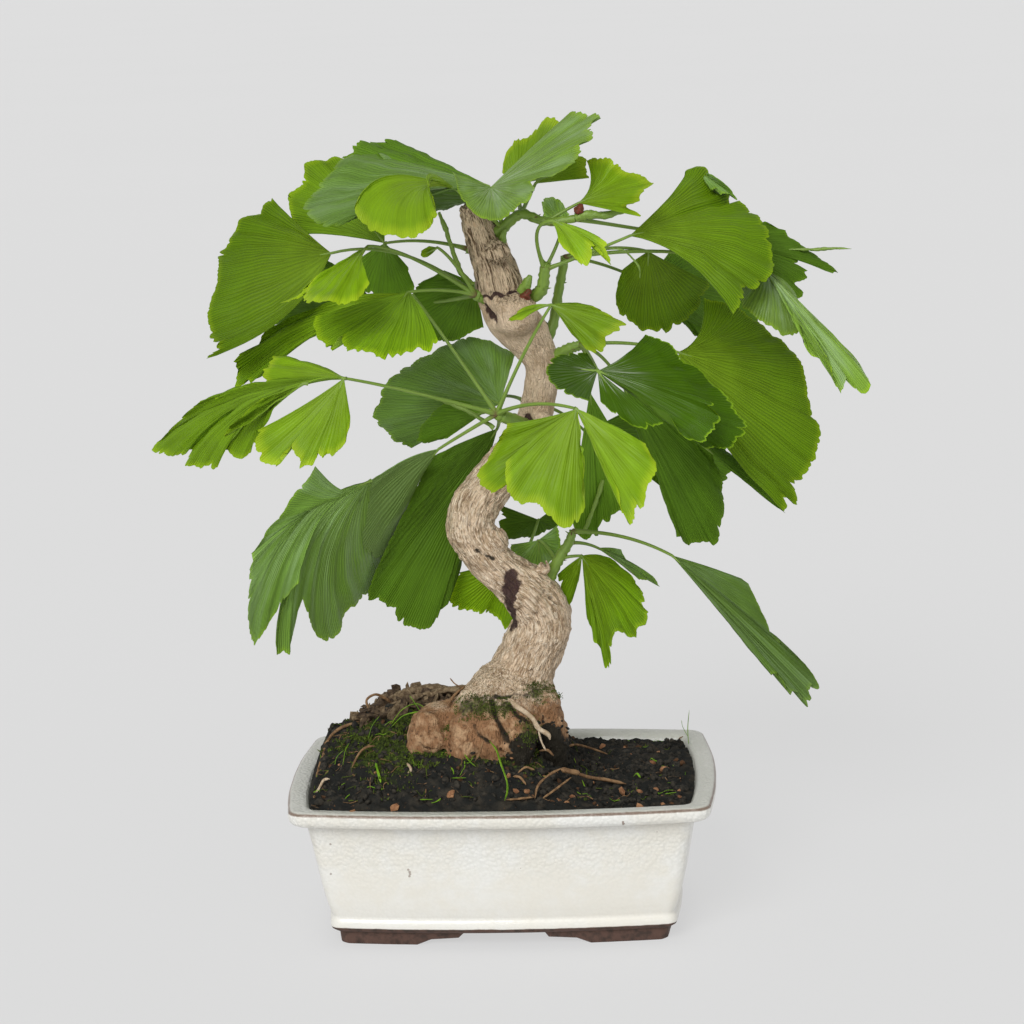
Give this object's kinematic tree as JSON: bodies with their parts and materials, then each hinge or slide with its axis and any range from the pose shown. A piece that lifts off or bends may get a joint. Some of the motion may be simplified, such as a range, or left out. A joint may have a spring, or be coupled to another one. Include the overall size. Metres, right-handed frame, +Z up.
{
  "type": "potted ginkgo bonsai",
  "caption": "Ginkgo bonsai with a winding trunk and fan-shaped green leaves, in a long cream glazed pot with soil and exposed roots.",
  "frame": {"origin": "on the ground under the middle of the whole bonsai, which is the middle of the pot's base", "axes": "+Z up, +X to the right along the pot's length, +Y from the viewer's side of the pot to its back"},
  "size_m": [0.2953, 0.1589, 0.3393],
  "materials": {
    "glaze": "cream glaze, orange-peel sheen, bare brown feet",
    "screen": "moulded black drainage mesh",
    "soil": "dark damp root ball with moss, grass and thin roots",
    "bark": "pale grained bark with dark scars",
    "foliage": "thin ribbed leaves, satin to glossy"
  },
  "bodies": {
    "root": {"pot": "glaze", "drain_screen_left": "screen", "drain_screen_right": "screen", "soil": "soil", "trunk": "bark", "shoot_crown": "foliage", "shoot_upper_left": "foliage", "shoot_upper_left_back": "foliage", "shoot_upper_right": "foliage", "shoot_right_back": "foliage", "shoot_right": "foliage", "shoot_centre": "foliage", "shoot_lower_right": "foliage", "shoot_lower_back": "foliage", "shoot_back": "foliage"}
  },
  "joints": []
}
